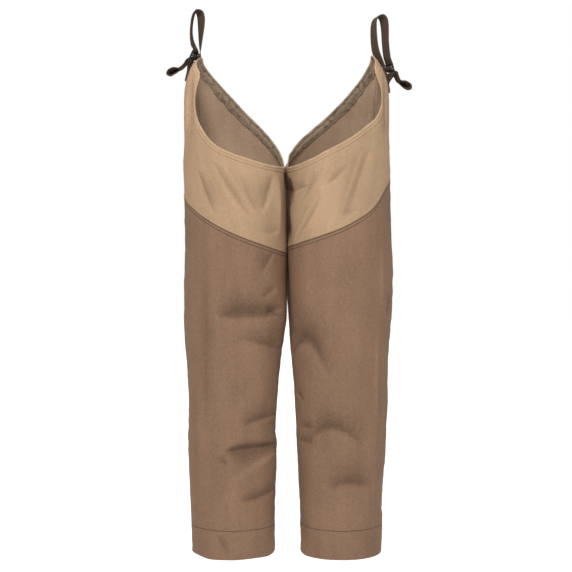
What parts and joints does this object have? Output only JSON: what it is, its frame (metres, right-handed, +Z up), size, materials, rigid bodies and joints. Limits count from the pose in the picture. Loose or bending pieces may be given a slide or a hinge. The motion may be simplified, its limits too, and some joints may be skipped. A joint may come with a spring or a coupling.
{
  "type": "upland chaps",
  "caption": "Pair of hollow cloth leg covers that hang from a belt by webbing loops, open at waist and hem, canvas above and tough nylon below.",
  "frame": {"origin": "On the belt line, midway between the two belt loops, at the height of their crowns", "axes": "+Z up, the front of the legs faces -Y, +X to the right as seen from the front"},
  "size_m": [0.4773, 0.1955, 1.0742],
  "materials": {
    "canvas": "khaki waxed canvas",
    "nylon": "brown coated nylon",
    "facing": "olive brown turned facing",
    "webbing": "dark brown woven webbing",
    "buckle": "black plastic"
  },
  "bodies": {
    "root": {"front_yoke_left": "canvas", "front_binding_left": "canvas", "front_shield_left": "nylon", "back_panel_left": "nylon", "back_facing_left": "facing", "belt_loop_left": "webbing", "buckle_tab_left": "webbing", "buckle_left": "buckle", "front_yoke_right": "canvas", "front_binding_right": "canvas", "front_shield_right": "nylon", "back_panel_right": "nylon", "back_facing_right": "facing", "belt_loop_right": "webbing", "buckle_tab_right": "webbing", "buckle_right": "buckle"}
  },
  "joints": []
}
